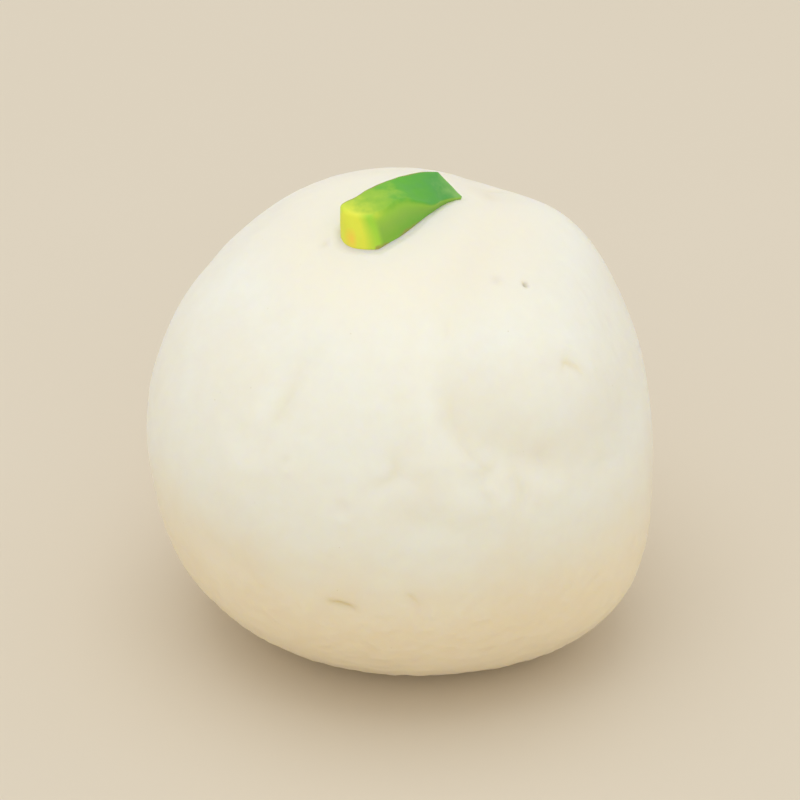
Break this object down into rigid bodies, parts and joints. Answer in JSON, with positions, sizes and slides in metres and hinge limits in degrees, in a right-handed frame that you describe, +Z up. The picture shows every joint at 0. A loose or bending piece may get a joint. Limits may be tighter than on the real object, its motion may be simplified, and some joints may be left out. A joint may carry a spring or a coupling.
{
  "type": "rasgulla",
  "caption": "Round off-white sweet of soft fresh cheese with shallow dents and creases and a sliver of green pistachio on its crown; rests on a small flat foot.",
  "frame": {"origin": "on the floor, under the middle of the outline box", "axes": "+Z up, away from the foot; the shown front faces -Y, and +X is to the right of someone facing that front"},
  "size_m": [0.0448, 0.0454, 0.0433],
  "materials": {
    "cheese": "moist satin, slightly translucent",
    "pistachio": "cut kernel, matte"
  },
  "bodies": {
    "root": {"ball": "cheese", "pistachio": "pistachio"}
  },
  "joints": []
}
